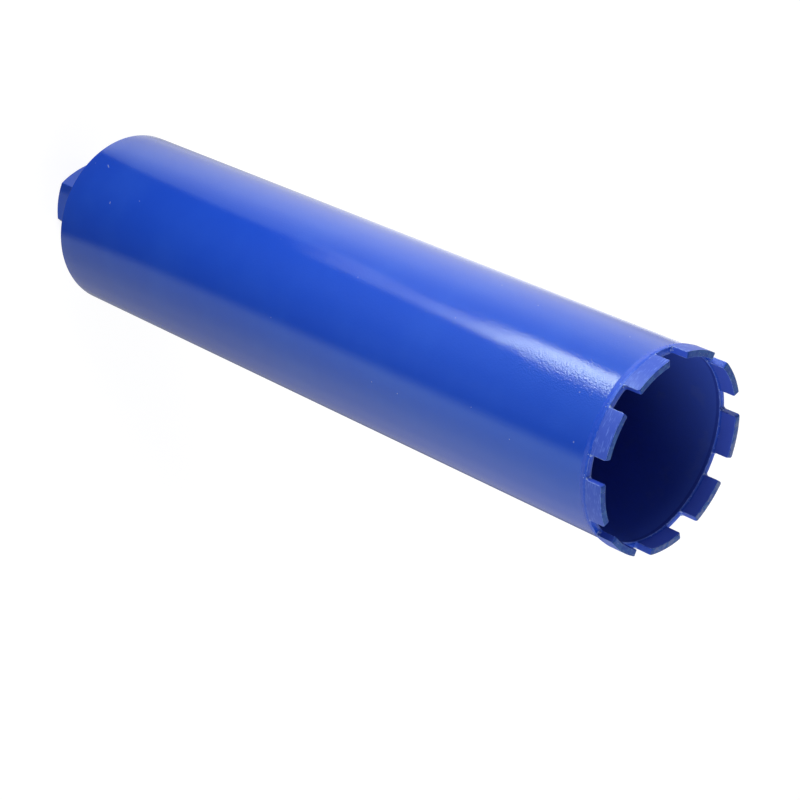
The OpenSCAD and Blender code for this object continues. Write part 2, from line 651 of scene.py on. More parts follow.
@dataclass(frozen=True)
class SegmentEnamel(Enamel):
    """A thin coat over the ground matrix of a segment, worn pale along its edges, which is partly a
    painted highlight.
    """

    name: str = "segment_enamel"
    tint: Colour = (0.052, 0.108, 0.60)
    thin_tint: Colour = (0.130, 0.225, 0.76)
    inner_tint: Colour = (0.064, 0.122, 0.65)
    end_tint: Colour = (0.042, 0.098, 0.60)
    specular: float = 0.35
    roughness: float = 0.42
    roughness_spread: float = 0.16
    crown_span: Span = (0.55, 0.85)
    outer_span: Span = (0.2, 0.6)
    inner_span: Span = (-0.2, -0.6)
    end_span: Span = (0.65, 0.40)
    cloud_size: float = 2.8
    # Pale edges: partly worn coat, partly painted highlight
    edge_wear_and_highlight_tint: Colour = (0.300, 0.430, 0.86)
    edge_width: Span = (0.40, 0.12)
    edge_cloud: Span = (0.36, 0.56)
    mark_size: float = 0.7
    mark_length: float = 4.5
    mark_layers: float = 0.5
    mark_span: Span = (0.48, 0.66)
    mark_depth: float = 0.035
    faint_depth: float = 0.006
    patch_size: float = 4.6
    patch_span: Span = (0.38, 0.60)
    crown_tint: Colour = (0.005, 0.046, 0.35)
    crown_thin_tint: Colour = (0.026, 0.108, 0.40)
    crown_cloud: Span = (0.36, 0.68)
    bare_tint: Colour = (0.150, 0.190, 0.400)
    bare_side: float = 85.0
    bare_reach: Span = (0.1, 0.9)
    bare_size: float = 3.1
    bare_span: Span = (0.38, 0.58)
    bare_share: float = 0.8
    dark_tint: Colour = (0.022, 0.048, 0.065)
    dark_width: Span = (0.75, 0.30)
    dark_cloud: Span = (0.38, 0.52)
    dark_reach: Span = (-0.5, 0.4)
    dark_share: float = 0.8
    diamond_tint: Colour = (0.30, 0.37, 0.46)
    diamond_cell: float = 0.95
    diamond_edge: Span = (0.34, 0.24)
    diamond_chance: Span = (0.80, 0.86)
    diamond_share: float = 0.4
    diamond_slope: Span = (0.36, 0.12)
    diamond_height: float = 0.07
    diamond_level: float = 0.45
    side_grit: float = 0.2
    pit_tint: Colour = (0.010, 0.030, 0.160)
    pit_chance: Span = (0.28, 0.20)
    pit_share: float = 0.35

    def marks(self, place: Place) -> Field:
        """Short marks that the grinding wheel left along the arc.

        Args:
            place: Where the point lies.

        Returns:
            The marks, from 0 to 1.
        """
        arc = place.turn * (CROWN_RADIUS / self.mark_length)
        along = place.graph.combine(arc, place.z / self.mark_size, place.radius * self.mark_layers)
        return place.graph.noise(along, size=1.0, detail=3.0)

    def crown(self, place: Place) -> Field:
        """Share of the cutting face, which looks up."""
        return place.rise.step(*self.crown_span)

    def outside(self, place: Place) -> Field:
        """Share of the outer face."""
        return place.outward.step(*self.outer_span)

    def end(self, place: Place) -> Field:
        """Share of the two end faces."""
        return abs(place.outward).most(place.rise).step(*self.end_span)

    def from_edge(self, place: Place) -> Field:
        """Distance of a point from the nearest edge of its segment.

        Args:
            place: Where the point lies.

        Returns:
            The distance, in millimetres.
        """
        along = SEGMENT_ARC / 2 - place.arc(CROWN_RADIUS)
        deep = (CROWN_RADIUS - place.radius).least(place.radius - CROWN_INNER_RADIUS)
        down = SEGMENT_FOOT + SEGMENT_HEIGHT - place.z
        return deep.least(down).most(deep.most(down).least(along))

    def cutting_face(self, place: Place, cloud: Field) -> Socket:
        """Colour of the cutting face: thin coat, bare matrix, diamonds and their pits.

        Args:
            place: Where the point lies.
            cloud: Noise that sets where the coat is worn.

        Returns:
            The colour.
        """
        face = mix(cloud.step(*self.crown_cloud), self.crown_tint, self.crown_thin_tint)
        side = math.radians(self.bare_side)
        towards = (place.x * math.cos(side) + place.y * math.sin(side)) / place.radius
        patch = place.noise(self.bare_size, detail=3.0).step(*self.bare_span)
        bare = towards.step(*self.bare_reach) * patch
        face = mix(bare * self.bare_share, face, self.bare_tint)
        away, chance = place.graph.cells(place.point, self.diamond_cell)
        grain = away.step(*self.diamond_edge)
        diamond = grain * chance.step(*self.diamond_chance)
        face = mix(diamond * self.diamond_share, face, self.diamond_tint)
        pit = grain * chance.step(*self.pit_chance)
        face = mix(pit * self.pit_share, face, self.pit_tint)
        rim = (CROWN_RADIUS - place.radius).step(*self.dark_width)
        dark = rim * cloud.step(*self.dark_cloud) * towards.step(*self.dark_reach)
        return mix(dark * self.dark_share, face, self.dark_tint)

    def colour(self, place: Place) -> Socket:
        """Colour of the ground sides, of the cutting face and of the pale edges, which are partly worn
        coat and partly painted highlight.

        Args:
            place: Where the point lies.

        Returns:
            The colour.
        """
        patch = place.noise(self.patch_size).step(*self.patch_span)
        thin = self.marks(place).step(*self.mark_span) * patch * self.outside(place)
        sides = mix(thin, self.tint, self.thin_tint)
        sides = mix(place.outward.step(*self.inner_span), sides, self.inner_tint)
        sides = mix(self.end(place), sides, self.end_tint)
        cloud = place.noise(self.cloud_size, detail=3.0)
        # Pale edges: partly worn coat, partly painted highlight
        worn = self.from_edge(place).step(*self.edge_width) * cloud.step(*self.edge_cloud)
        sides = mix(worn, sides, self.edge_wear_and_highlight_tint)
        return mix(self.crown(place), sides, self.cutting_face(place, cloud))

    def relief(self, place: Place) -> Field:
        """Height of the surface: grinding marks, and diamonds that stand proud.

        Args:
            place: Where the point lies.

        Returns:
            The height, in millimetres.
        """
        away, chance = place.graph.cells(place.point, self.diamond_cell)
        proud = away.step(*self.diamond_slope) * (chance - self.diamond_level) * self.diamond_height
        depth = self.outside(place) * self.mark_depth + self.faint_depth
        grit = self.crown(place) * (1 - self.side_grit) + self.side_grit
        return self.marks(place) * depth + proud * grit


@dataclass(frozen=True)
class SolderEnamel(Enamel):
    """The coat over the silver solder, thin and pale on its lumps, palest at the segments' ends and outer
    corners, which is partly a painted highlight.
    """

    name: str = "solder_enamel"
    tint: Colour = (0.030, 0.090, 0.60)
    # Pale coat on the lumps; at the ends and outer corners partly painted highlight
    thin_tint: Colour = (0.300, 0.410, 0.78)
    roughness: float = 0.30
    mottle_size: float = 1.8
    mottle_span: Span = (0.60, 0.76)
    end_span: Span = (11.6, 13.0)
    corner_span: Span = (54.4, 55.6)
    end_paleness_and_highlight: float = 0.12
    droplet_size: float = 0.8
    droplet_depth: float = 0.09

    def thinness(self, place: Place) -> Field:
        """How thin the coat is: thinnest on the lumps at the ends and outer corners, whose paleness there
        is partly a painted highlight.

        Args:
            place: Where the point lies.

        Returns:
            The thinness, from 0 to 1.
        """
        lump = place.noise(self.mottle_size, detail=3.0)
        end = place.arc(CROWN_RADIUS).step(*self.end_span)
        corner = end * place.radius.step(*self.corner_span)
        # Paler at the ends and outer corners: partly thin coat, partly painted highlight
        return (lump + (end + corner) * self.end_paleness_and_highlight).step(*self.mottle_span)

    def relief(self, place: Place) -> Field:
        """Height of the surface in millimetres: frozen droplets."""
        return place.noise(self.droplet_size) * self.droplet_depth


class Skin:
    """The closed skin of one piece, gathered from grids of points in millimetres."""

    MERGE_DISTANCE = 2e-6

    def __init__(self) -> None:
        """Starts with no points."""
        self.points: list[np.ndarray] = []
        self.faces: list[np.ndarray] = []
        self.count = 0

    def grid(self, points: np.ndarray, closed: bool = False) -> None:
        """Adds a grid with a face in each of its cells.

        Args:
            points: Points in rows and columns.
            closed: Whether the last column is joined to the first.
        """
        rows, columns = points.shape[:2]
        index = self.count + np.arange(rows * columns).reshape(rows, columns)
        if closed:
            index = np.concatenate([index, index[:, :1]], axis=1)
        corners = (index[:-1, :-1], index[:-1, 1:], index[1:, 1:], index[1:, :-1])
        self.points.append(points.reshape(-1, 3))
        self.faces.append(np.stack(corners, axis=-1).reshape(-1, 4))
        self.count += rows * columns

    def piece(
        self,
        name: str,
        finish: Enamel,
        slot: Slot,
        nodes: Sequence[str],
        crease: float,
    ) -> bpy.types.Object:
        """Makes the piece, which stands for CAD nodes.

        Args:
            name: The name of the piece.
            finish: Its finish.
            slot: The record's slot of that finish. It is not used.
            nodes: The CAD nodes that it replaces.
            crease: The angle, in degrees, past which an edge stays sharp.

        Returns:
            The new object.
        """
        mesh = bpy.data.meshes.new(name)
        points = np.concatenate(self.points) * MM
        faces = np.concatenate(self.faces)
        mesh.from_pydata(points.tolist(), [], faces.tolist())
        work = bmesh.new()
        work.from_mesh(mesh)
        bmesh.ops.remove_doubles(work, verts=work.verts, dist=self.MERGE_DISTANCE)
        bmesh.ops.dissolve_degenerate(work, edges=work.edges, dist=self.MERGE_DISTANCE / 2)
        bmesh.ops.recalc_face_normals(work, faces=work.faces)
        work.to_mesh(mesh)
        work.free()
        mesh.shade_smooth()
        mesh.set_sharp_from_angle(angle=math.radians(crease))
        mesh.materials.append(finish.build())
        made = bpy.data.objects.new(name, mesh)
        bpy.context.scene.collection.objects.link(made)
        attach(made, BODY)
        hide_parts(*nodes)
        return made


def turned(radius: np.ndarray, turn: np.ndarray, height: np.ndarray) -> np.ndarray:
    """Points from their radius, their turn in radians and their height.

    Args:
        radius: Radii, in millimetres.
        turn: Turns, in radians.
        height: Heights, in millimetres.

    Returns:
        An array with one more axis, which holds x, y and z.
    """
    radius, turn, height = np.broadcast_arrays(radius, turn, height)
    return np.stack([radius * np.cos(turn), radius * np.sin(turn), height], axis=-1)


def wander(points: np.ndarray, size: float, seed: float) -> np.ndarray:
    """Smooth noise at points.

    Args:
        points: Points in millimetres, in an array whose last axis holds x, y and z.
        size: The size of the noise's features, in millimetres.
        seed: A shift that makes the noise another one.

    Returns:
        The noise, from about -1 to 1, with the last axis gone.
    """
    flat = points.reshape(-1, 3) / size + seed
    values = [noise.noise(Vector(point)) for point in flat]
    return np.array(values).reshape(points.shape[:-1])


def dress(node: str, finish: Enamel) -> bpy.types.Object:
    """Gives a CAD node its finish.

    Args:
        node: The node's name.
        finish: The finish.

    Returns:
        The node's object.
    """
    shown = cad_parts[node]
    shown.data.materials.clear()
    shown.data.materials.append(finish.build())
    return shown


def rounded(corners: Sequence[tuple[float, float, float]], steps: int) -> np.ndarray:
    """Rounds the corners of a closed outline.

    Args:
        corners: Radius, height and rounding of each corner, in millimetres.
        steps: How many faces a rounding gets.

    Returns:
        Radii and heights of the outline's points, in rows.
    """
    places = np.array([corner[:2] for corner in corners])
    share = np.linspace(0, 1, steps + 1)[:, None]
    found = []
    for at, (before, after, (*_, size)) in enumerate(
        zip(np.roll(places, 1, axis=0), np.roll(places, -1, axis=0), corners)
    ):
        corner = places[at]
        start = corner + (before - corner) / np.linalg.norm(before - corner) * size
        end = corner + (after - corner) / np.linalg.norm(after - corner) * size
        found.append(start * (1 - share) ** 2 + corner * 2 * share * (1 - share) + end * share**2)
    return np.concatenate(found)


@dataclass
class Barrel:
    """The steel barrel with its turned collar, and the plate inside its back end."""

    radius: float = BARREL_RADIUS
    inner_radius: float = BARREL_INNER_RADIUS
    back: float = 48.5
    front: float = BARREL_FRONT
    back_edge: float = 0.6
    inner_edge: float = 0.15
    collar_radius: float = COLLAR_RADIUS
    collar_length: float = 4.4
    collar_slope: float = 2.6
    collar_round: float = 0.5
    rim_round: float = 0.32
    round_steps: int = 5
    columns: int = 360
    row_gap: float = 12.0
    heated_length: float = 5.4
    unevenness: float = 0.07
    uneven_size: float = 2.6
    uneven_seed: float = 5.2
    outside_from: float = 54.52
    crease: float = 32.0
    enamel: BarrelEnamel = field(default_factory=BarrelEnamel)
    plate_enamel: HubEnamel = field(default_factory=HubEnamel)

    def outline(self) -> np.ndarray:
        """Section of the barrel, a closed line.

        Returns:
            Radii and heights, in rows.
        """
        slope = self.front - self.collar_length
        corners = (
            (self.inner_radius, self.back, self.inner_edge),
            (self.radius, self.back, self.back_edge),
            (self.radius, slope, self.collar_round),
            (self.collar_radius, slope + self.collar_slope, self.collar_round),
            (self.collar_radius, self.front, self.rim_round),
            (self.inner_radius, self.front, self.rim_round),
        )
        line = rounded(corners, self.round_steps)
        rows = []
        for start, end in zip(line, np.roll(line, -1, axis=0)):
            count = max(1, round(np.linalg.norm(end - start) / self.row_gap))
            rows.extend(start + (end - start) * part / count for part in range(count))
        return np.array(rows + [rows[0]])

    def tube(self) -> bpy.types.Object:
        """Turns the barrel, a little uneven where the solder's heat worked on the collar.

        Returns:
            Its object.
        """
        outline = self.outline()
        turns = np.linspace(0, TAU, self.columns, endpoint=False)
        points = turned(outline[:, :1], turns[None, :], outline[:, 1:])
        heated = points[..., 2] > self.front - self.heated_length
        outside = np.hypot(points[..., 0], points[..., 1]) > self.outside_from
        sunk = (wander(points, self.uneven_size, self.uneven_seed) - 1) / 2 * self.unevenness
        points[..., :2] *= 1 + (sunk * heated * outside / self.radius)[..., None]
        skin = Skin()
        skin.grid(points, closed=True)
        return skin.piece("turned_barrel", self.enamel, Slot.BARREL, ["tube"], self.crease)

    def build(self) -> list[bpy.types.Object]:
        """Makes the barrel and dresses the plate.

        Returns:
            Their objects.
        """
        return [self.tube(), dress("back_plate", self.plate_enamel)]


@dataclass
class Hub:
    """The hexagonal hub, with the right-hand spindle thread cut into its hole.

    The chamfer round its free end is part of a ball, whose middle lies at the dome's height.
    """

    flats: float = 41.0
    turn: float = -2.5
    corner_round: float = 0.45
    corner_margin: float = 1.001
    corner_steps: int = 4
    flat_steps: int = 18
    flat_rows: tuple[float, ...] = (12.0, 24.0, 36.0)
    end_radius: float = 19.8
    dome_radius: float = 43.6135
    dome_height: float = 38.8596
    dome_steps: int = 7
    hexagon_length: float = 46.5
    foot_radius: float = 20.0
    plate_back: float = 50.5
    spigot_radius: float = 17.0
    spigot_edge: float = 0.3
    length: float = 58.5
    exit_edge: float = 1.0
    bore_radius: float = 14.0
    mouth_radius: float = 16.2
    thread_radius: float = 15.875
    pitch: float = 25.4 / 7
    root_flat: float = 0.454
    thread_end: float = 42.0
    run_out: float = 3.5
    stop_steps: int = 3
    spare_laps: int = 2
    crease: float = 28.0
    enamel: ThreadedHubEnamel = field(default_factory=ThreadedHubEnamel)

    @property
    def corner_radius(self) -> float:
        """Distance from the axis to a sharp corner."""
        return self.flats / 2 / math.cos(math.radians(30))

    @property
    def corner_turn(self) -> float:
        """Half of the angle that a rounded corner takes up, in radians."""
        return self.corner_round * math.tan(math.radians(30)) / self.corner_radius

    def columns(self) -> np.ndarray:
        """Turns of the mesh's columns, close together round the hexagon's corners.

        Returns:
            The turns, in radians.
        """
        corner = math.degrees(self.corner_turn)
        near = np.linspace(-corner, corner, self.corner_steps + 1)
        across = np.linspace(corner, 60 - corner, self.flat_steps + 1)[1:-1]
        sector = np.concatenate([near, across])
        first = self.turn + 30
        return np.radians(np.concatenate([first + 60 * side + sector for side in range(6)]))

    def hexagon(self, turns: np.ndarray) -> np.ndarray:
        """Distance from the axis to the hexagon's rounded outline.

        Args:
            turns: Turns in radians.

        Returns:
            The radius at each of them.
        """
        from_flat = (np.degrees(turns) - self.turn + 30) % 60 - 30
        on_flat = self.flats / 2 / np.cos(np.radians(from_flat))
        from_corner = np.radians(30 - np.abs(from_flat))
        middle = self.corner_radius - self.corner_round / math.cos(math.radians(30))
        side = np.minimum(np.abs(middle * np.sin(from_corner)), self.corner_round)
        on_corner = middle * np.cos(from_corner) + np.sqrt(self.corner_round**2 - side**2)
        return np.where(from_corner < self.corner_turn * self.corner_margin, on_corner, on_flat)

    def outside(self, turns: np.ndarray) -> np.ndarray:
        """Grid of the outside, from the mouth of the hole to the hole's inner end.

        Args:
            turns: Turns of the columns, in radians.

        Returns:
            Points in rows and columns.
        """
        edge = self.hexagon(turns)
        rings = [(self.mouth_radius, 0.0), (self.end_radius, 0.0)]
        for share in np.linspace(0, 1, self.dome_steps)[1:]:
            radius = self.end_radius + (edge - self.end_radius) * share
            rings.append((radius, self.dome_height - np.sqrt(self.dome_radius**2 - radius**2)))
        rings += [(edge, height) for height in (*self.flat_rows, self.hexagon_length)]
        rings += [
            (self.foot_radius, self.hexagon_length),
            (self.foot_radius, self.plate_back),
            (self.spigot_radius, self.plate_back),
            (self.spigot_radius, self.length - self.spigot_edge),
            (self.spigot_radius - self.spigot_edge, self.length),
            (self.bore_radius + self.exit_edge, self.length),
            (self.bore_radius, self.length - self.exit_edge),
        ]
        return np.stack([turned(radius, turns, height) for radius, height in rings])

    def profile(self) -> tuple[np.ndarray, np.ndarray]:
        """One turn of the thread.

        Returns:
            Shares of the pitch, and how deep the groove is at each of them.
        """
        depth = self.thread_radius - self.bore_radius
        flank = depth * math.tan(math.radians(30)) / self.pitch
        root = self.root_flat / self.pitch
        crest = 1 - 2 * flank - root
        stops = np.array([0, crest, crest + flank, crest + flank + root, 1])
        steps = [np.linspace(a, b, self.stop_steps + 1)[:-1] for a, b in zip(stops[:-1], stops[1:])]
        shares = np.concatenate(steps)
        return shares, np.interp(shares, stops, [0, 0, depth, depth, 0])

    def thread(self, turns: np.ndarray) -> np.ndarray:
        """Grid of the threaded hole, whose rows follow the helix.

        Args:
            turns: Turns of the columns, in radians, with the first one again at the end.

        Returns:
            Points in rows and columns.
        """
        shares, depths = self.profile()
        end = self.length - self.exit_edge
        laps = np.arange(-self.spare_laps, math.ceil(end / self.pitch) + self.spare_laps)
        raw = (laps[:, None] + shares[None, :]).reshape(-1, 1) + turns[None, :] / TAU
        height = np.clip(raw * self.pitch, 0, end)
        phase = (height / self.pitch - turns[None, :] / TAU) % 1
        depth = np.interp(phase, np.append(shares, 1.0), np.append(depths, depths[0]))
        fade = np.clip((self.thread_end + self.run_out - height) / self.run_out, 0, 1)
        chamfer = self.mouth_radius - height
        radius = np.maximum(self.bore_radius + depth * fade, chamfer)
        return turned(radius, turns[None, :], height)

    def build(self) -> list[bpy.types.Object]:
        """Makes the hub.

        Returns:
            The hub's object.
        """
        turns = self.columns()
        skin = Skin()
        skin.grid(self.outside(turns), closed=True)
        skin.grid(self.thread(np.append(turns, turns[0] + TAU)))
        return [skin.piece("threaded_hub", self.enamel, Slot.HUB, ["hub"], self.crease)]


@dataclass
class WeldBead:
    """A ring of weld, laid down in ripples. Its toe, crest and hidden points are radii and heights."""

    name: str
    node: str
    hidden: tuple[Span, ...]
    toe: Span
    crest: Span
    ripples: int
    ripple_depth: float
    drift: float
    seed: float
    columns_per_ripple: int = 9
    rows: int = 10
    lag: float = 2.4
    sharpness: float = 0.7
    drift_size: float = 9.0
    drift_level: float = 0.4
    toe_share: float = 0.35
    crease: float = 50.0
    enamel: WeldEnamel = field(default_factory=WeldEnamel)

    def build(self) -> list[bpy.types.Object]:
        """Makes the bead.

        Returns:
            The bead's object.
        """
        turns = np.linspace(0, TAU, self.ripples * self.columns_per_ripple, endpoint=False)
        quarter = np.linspace(0, math.pi / 2, self.rows)[:, None]
        reach, climb = np.subtract(self.toe, self.crest)
        radius = self.crest[0] + reach * np.cos(quarter)
        height = self.toe[1] - climb * np.sin(quarter)
        bow = np.sin(2 * quarter)
        phase = (turns * self.ripples - self.lag * bow) / 2
        ripple = (np.abs(np.sin(phase)) ** self.sharpness - 1) * self.ripple_depth
        ring = turned(radius, turns, height)
        drift = (wander(ring, self.drift_size, self.seed) - self.drift_level) * self.drift
        shift = (ripple + drift) * (self.toe_share + (1 - self.toe_share) * bow)
        outward = shift * np.cos(quarter) * np.sign(reach)
        shown = turned(radius + outward, turns, height - shift * np.sin(quarter))
        unseen = [turned(far, turns, up) for far, up in self.hidden]
        skin = Skin()
        skin.grid(np.concatenate([shown, np.stack(unseen), shown[:1]]), closed=True)
        return [skin.piece(self.name, self.enamel, Slot.HUB, [self.node], self.crease)]


@dataclass
class Crown:
    """The cutting crown: nine segments, and the solder that holds each of them."""

    count: int = SEGMENT_COUNT
    foot: float = SEGMENT_FOOT
    seat: float = BARREL_FRONT
    outer_radius: float = CROWN_RADIUS
    inner_radius: float = CROWN_INNER_RADIUS
    arc: float = SEGMENT_ARC
    height: float = SEGMENT_HEIGHT
    corner_round: float = 1.3
    least_round: float = 0.05
    edge_round: float = 0.38
    edge_rows: int = 4
    step: float = 0.34
    segment_crease: float = 42.0
    segment_enamel: SegmentEnamel = field(default_factory=SegmentEnamel)

    unevenness: float = 0.035
    uneven_size: float = 3.5
    uneven_seed: float = 11.3
    grit_height: float = 0.045
    grit_size: float = 0.7
    grit_seed: float = 4.7
    side_from: float = 1.2

    foot_round: float = 0.35
    end_reach: float = 0.6
    end_foot: float = 1.1
    end_rise: float = 1.5
    inner_foot: float = 0.30
    inner_foot_limit: float = 0.38
    inner_rise: float = 1.15
    outer_draw: float = 0.3
    lumps: tuple[tuple[float, float, float], ...] = ((0.45, 1.3, 2.2), (0.25, 0.5, 8.1))
    lump_shift: float = 17.0
    fillet_rows: int = 6
    fillet_curve: float = 1.7
    fillet_lift: float = 0.3
    sunk: float = 0.02
    tuck: float = 0.05
    margin: float = 0.02
    solder_points: int = 260
    solder_crease: float = 60.0
    solder_enamel: SolderEnamel = field(default_factory=SolderEnamel)

    spatter: int = 3
    spatter_reach: Span = (-1.5, 2.6)
    spatter_size: Span = (0.22, 0.42)
    spatter_height: Span = (-1.9, -0.5)
    drop_base: float = 55.63
    drop_flatness: float = 0.62
    drop_rows: int = 7
    drop_columns: int = 12

    @property
    def thick(self) -> float:
        """Radial thickness of a segment."""
        return self.outer_radius - self.inner_radius

    def middle(self, number: int) -> float:
        """Turn of the middle of a segment, in radians."""
        return (number - 1) * TAU / self.count

    def face(self, across: np.ndarray, up: np.ndarray, inset: float) -> np.ndarray:
        """Maps a square grid on a segment's outline, whose two upper corners are round.

        Args:
            across: Shares of the arc, from -1 to 1.
            up: Shares of the height, from 0 to 1.
            inset: How far the outline is drawn in.

        Returns:
            Places along the arc and up the segment, in millimetres.
        """
        half = self.arc / 2 - inset
        top = self.height - inset
        along = across * half
        high = inset + up * (top - inset)
        radius = max(self.corner_round - inset, self.least_round)
        past_side = np.maximum(np.abs(along) - (half - radius), 0)
        past_top = np.maximum(high - (top - radius), 0)
        length = np.hypot(past_side, past_top)
        longer = np.maximum(past_side, past_top)
        pull = np.where(length > 0, longer / np.where(length > 0, length, 1), 1)
        near = (past_side > 0) & (past_top > 0)
        along = np.where(near, np.sign(along) * (half - radius + past_side * pull), along)
        high = np.where(near, top - radius + past_top * pull, high)
        return np.stack([along, high], axis=-1)

    def place(self, flat: np.ndarray, depth: np.ndarray, middle: float) -> np.ndarray:
        """Bends points of a flat segment round the barrel's axis.

        Args:
            flat: Places along the arc and up the segment.
            depth: Depths in from the outer face.
            middle: Turn of the segment's middle, in radians.

        Returns:
            Points in the frame.
        """
        turn = middle + flat[..., 0] / self.outer_radius
        return turned(self.outer_radius - depth, turn, self.foot + flat[..., 1])

    def segment(self, number: int) -> bpy.types.Object:
        """Makes a segment.

        Args:
            number: Its number, from 1.

        Returns:
            Its object.
        """
        middle = self.middle(number)
        wide, high = round(self.arc / self.step), round(self.height / self.step)
        across = np.linspace(-1, 1, wide + 1)[None, :].repeat(high + 1, axis=0)
        up = np.linspace(0, 1, high + 1)[:, None].repeat(wide + 1, axis=1)
        rim = [(0, column) for column in range(wide)]
        rim += [(row, wide) for row in range(high)]
        rim += [(high, column) for column in range(wide, 0, -1)]
        rim += [(row, 0) for row in range(high, 0, -1)]
        rim_rows, rim_columns = np.array(rim).T
        quarter = np.linspace(0, math.pi / 2, self.edge_rows + 1)
        insets = self.edge_round * (1 - np.sin(quarter))
        depths = self.edge_round * (1 - np.cos(quarter))
        edge = list(zip(insets, depths))
        through = np.linspace(depths[-1], self.thick - depths[-1], round(self.thick / self.step))
        rows = edge + [(0.0, depth) for depth in through[1:-1]]
        rows += [(inset, self.thick - depth) for inset, depth in reversed(edge)]
        skin = Skin()
        for inset, depth in (rows[0], rows[-1]):
            flat = self.face(across, up, inset)
            skin.grid(self.place(flat, np.full(across.shape, depth), middle))
        band = [self.face(across, up, inset)[rim_rows, rim_columns] for inset, _ in rows]
        band_depth = np.array([depth for _, depth in rows])[:, None]
        skin.grid(self.place(np.stack(band), band_depth, middle), closed=True)
        skin.points = [self.worn(points) for points in skin.points]
        name, nodes = f"cutting_{number}", [f"segment_{number}"]
        return skin.piece(name, self.segment_enamel, Slot.SEGMENT, nodes, self.segment_crease)

    def worn(self, points: np.ndarray) -> np.ndarray:
        """Makes a segment's surface slightly uneven, with grit that stands a little proud.

        Args:
            points: Points of the true form.

        Returns:
            The points, shifted inward from it by up to a tenth of a millimetre.
        """
        dull = wander(points, self.uneven_size, self.uneven_seed) * self.unevenness
        grit = np.maximum(wander(points, self.grit_size, self.grit_seed), 0) * self.grit_height
        inward = (self.unevenness + self.grit_height - dull - grit)[:, None] / 2
        radius = np.hypot(points[:, 0], points[:, 1])[:, None]
        from_mean = radius - (self.outer_radius + self.inner_radius) / 2
        radial = points * [1, 1, 0] / radius * np.sign(from_mean)
        side = (np.abs(from_mean) > self.side_from) * radial
        cut = (points[:, 2:] > self.foot + self.height / 2) * np.array([0, 0, 1])
        return points - (side + cut) * inward

    def outline(self) -> tuple[np.ndarray, np.ndarray]:
        """The outline of a segment's foot, with rounded corners.

        Returns:
            Places along the arc and in from the foot's middle, and the way out at each of them.
        """
        curve = self.foot_round
        bend = curve * math.pi / 2
        sides = ((0, -1, self.arc), (1, 0, self.thick), (0, 1, self.arc), (-1, 0, self.thick))
        total = sum(length - 2 * curve + bend for *_, length in sides)
        points, normals = [], []
        for at in np.linspace(0, total, self.solder_points, endpoint=False):
            for x, y, length in sides:
                out, along = np.array([x, y]), np.array([-y, x])
                centre = out * [self.arc / 2, self.thick / 2]
                straight = length - 2 * curve
                if at < straight:
                    points.append(centre + along * (at - straight / 2))
                    normals.append(out)
                    break
                at -= straight
                if at < bend:
                    pivot = centre + along * length / 2 - (out + along) * curve
                    angle = math.atan2(y, x) + at / curve
                    normals.append(np.array([math.cos(angle), math.sin(angle)]))
                    points.append(pivot + normals[-1] * curve)
                    break
                at -= bend
        return np.array(points), np.array(normals)

    def ring(self, flat: np.ndarray, height: Union[float, np.ndarray], middle: float) -> np.ndarray:
        """Bends a row of the solder's points round the barrel's axis.

        Args:
            flat: Places along the arc and in from the foot's middle.
            height: Heights above the barrel's front end.
            middle: Turn of the segment's middle, in radians.

        Returns:
            Points in the frame, none of which reaches the crown's outer radius.
        """
        turn = middle + flat[:, 0] / self.outer_radius
        radius = self.outer_radius - self.thick / 2 - flat[:, 1]
        return turned(np.minimum(radius, self.outer_radius - self.margin), turn, self.seat + height)

    def solder(self, number: int) -> bpy.types.Object:
        """Makes the solder under a segment, squeezed out into lumpy fillets at its ends.

        Args:
            number: The segment's number, from 1.

        Returns:
            Its object.
        """
        middle, half, gap = self.middle(number), self.arc / 2, self.foot - self.seat
        points, out = self.outline()
        past_end = (np.abs(points[:, 0]) - half) / self.end_reach + 1
        at_end = np.clip(past_end, 0, 1) * np.abs(out[:, 0])
        inner, outer = np.clip(out[:, 1], 0, 1), np.clip(-out[:, 1], 0, 1)
        where = np.pad(points + number * self.lump_shift, ((0, 0), (0, 1)))
        lump = 1 + sum(swing * wander(where, size, seed) for swing, size, seed in self.lumps)
        foot = (at_end * self.end_foot + inner * self.inner_foot) * lump - outer * self.outer_draw
        foot = np.where(inner > 0.5, np.minimum(foot, self.inner_foot_limit), foot)
        rise = (at_end * self.end_rise + inner * self.inner_rise) * lump + outer * self.outer_draw
        reach = half - self.thick / 2
        spine = np.stack([np.clip(points[:, 0], -reach, reach), np.zeros(len(points))], axis=1)
        lift = gap * self.fillet_lift
        rows = [self.ring(spine, 0.0, middle)]
        for share in np.linspace(0, 1, self.fillet_rows):
            shift = foot * (1 - share) ** self.fillet_curve - self.sunk * share
            height = (lift + (gap - lift + rise) * share**self.fillet_curve) * (share > 0)
            rows.append(self.ring(points + out * shift[:, None], height, middle))
        rows.append(self.ring(points - out * self.tuck, gap, middle))
        rows.append(self.ring(spine, gap, middle))
        skin = Skin()
        skin.grid(np.stack(rows), closed=True)
        draw = random.Random(number)
        for side in (-1, 1):
            for _ in range(self.spatter):
                arc = side * (half + draw.uniform(*self.spatter_reach))
                size = draw.uniform(*self.spatter_size)
                height = draw.uniform(*self.spatter_height)
                skin.grid(self.drop(middle + arc / self.outer_radius, height, size), closed=True)
        name, nodes = f"solder_{number}", [f"braze_{number}"]
        return skin.piece(name, self.solder_enamel, Slot.SOLDER, nodes, self.solder_crease)

